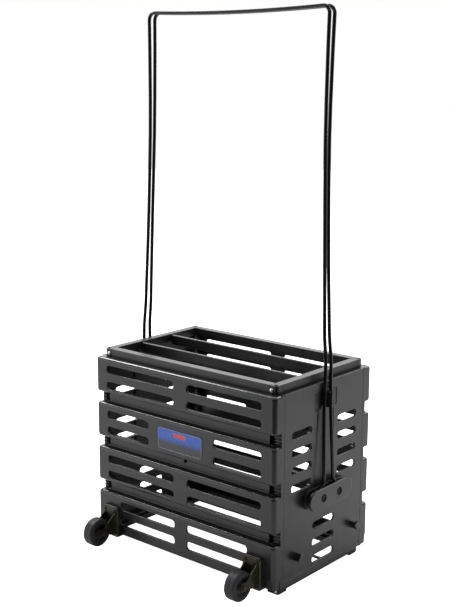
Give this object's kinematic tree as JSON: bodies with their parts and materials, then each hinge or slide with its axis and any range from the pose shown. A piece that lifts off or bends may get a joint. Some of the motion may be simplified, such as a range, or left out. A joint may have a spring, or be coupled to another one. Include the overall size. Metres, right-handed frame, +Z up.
{
  "type": "wheeled ball caddy",
  "caption": "Slotted plastic ball caddy with metal bar frames, wire bail handles that swing down as legs, and fixed wheels on its front wall.",
  "frame": {"origin": "on the ground, midway between the outermost points in x and y: centre of the bounding box's underside, level with the feet", "axes": "+X to the right along the box's long side, +Y from the wheeled front wall to the back wall, +Z up along the raised handles"},
  "size_m": [0.432, 0.3302, 0.9241],
  "materials": {
    "black_plastic": "satin moulded polypropylene, fine grain",
    "corner_plastic": "smooth black plastic",
    "hub_plastic": "smooth black plastic",
    "black_rail": "black anodised extrusion, semi-gloss, fine lengthwise lines",
    "gloss_wire": "gloss black powder coat",
    "dark_bracket": "dark olive-black plating, semi-gloss",
    "grey_tyre": "matt dark grey rubber",
    "dark_screw": "blacked steel, semi-gloss",
    "bright_screw": "bright zinc",
    "label_film": "printed film, gloss"
  },
  "bodies": {
    "basket": {"axle_bolt_left": "dark_bracket", "axle_bolt_right": "dark_bracket", "axle_nut_left": "dark_bracket", "axle_nut_right": "dark_bracket", "bracket_screw_left_inner": "dark_bracket", "bracket_screw_left_outer": "dark_bracket", "bracket_screw_right_inner": "dark_bracket", "bracket_screw_right_outer": "dark_bracket", "foot_front_left": "corner_plastic", "foot_front_right": "corner_plastic", "foot_rear_left": "corner_plastic", "foot_rear_right": "corner_plastic", "front_panel": "black_plastic", "handle_clip_left": "corner_plastic", "handle_clip_right": "corner_plastic", "label_plate": "label_film", "left_end_panel": "black_plastic", "low_rail_front": "black_rail", "low_rail_left": "black_rail", "low_rail_rear": "black_rail", "low_rail_right": "black_rail", "low_screw_front_left": "bright_screw", "low_screw_front_right": "bright_screw", "low_screw_rear_left": "bright_screw", "low_screw_rear_right": "bright_screw", "pickup_bar_front": "black_rail", "pickup_bar_rear": "black_rail", "pivot_base_left": "black_plastic", "pivot_base_right": "black_plastic", "pivot_cover_left": "black_plastic", "pivot_cover_right": "black_plastic", "pivot_screw_left_front": "dark_screw", "pivot_screw_left_rear": "dark_screw", "pivot_screw_right_front": "dark_screw", "pivot_screw_right_rear": "dark_screw", "rear_panel": "black_plastic", "right_end_panel": "black_plastic", "top_bar_front": "black_rail", "top_bar_rear": "black_rail", "top_corner_front_left": "corner_plastic", "top_corner_front_right": "corner_plastic", "top_corner_rear_left": "corner_plastic", "top_corner_rear_right": "corner_plastic", "top_rail_front": "black_rail", "top_rail_left": "black_rail", "top_rail_rear": "black_rail", "top_rail_right": "black_rail", "top_screw_front_left": "bright_screw", "top_screw_front_right": "bright_screw", "top_screw_rear_left": "bright_screw", "top_screw_rear_right": "bright_screw", "wheel_bracket_left": "dark_bracket", "wheel_bracket_right": "dark_bracket"},
    "front_handle": {"front_bail": "gloss_wire"},
    "rear_handle": {"rear_bail": "gloss_wire"},
    "left_wheel": {"wheel_hub_left": "hub_plastic", "tyre_left": "grey_tyre"},
    "right_wheel": {"wheel_hub_right": "hub_plastic", "tyre_right": "grey_tyre"}
  },
  "joints": [
    {"name": "front_handle_swing", "type": "hinge", "parent": "basket", "child": "front_handle", "pos_m": [0, 0.01117, 0.1445], "axis": [1, 0, 0], "range_deg": [0, 152]},
    {"name": "rear_handle_swing", "type": "hinge", "parent": "basket", "child": "rear_handle", "pos_m": [0, 0.05457, 0.1445], "axis": [-1, 0, 0], "range_deg": [0, 146]},
    {"name": "left_wheel_spin", "type": "hinge", "parent": "basket", "child": "left_wheel", "pos_m": [-0.1615, -0.14062, 0.0304], "axis": [1, 0, 0], "continuous": true},
    {"name": "right_wheel_spin", "type": "hinge", "parent": "basket", "child": "right_wheel", "pos_m": [0.1615, -0.14062, 0.0304], "axis": [1, 0, 0], "continuous": true}
  ]
}
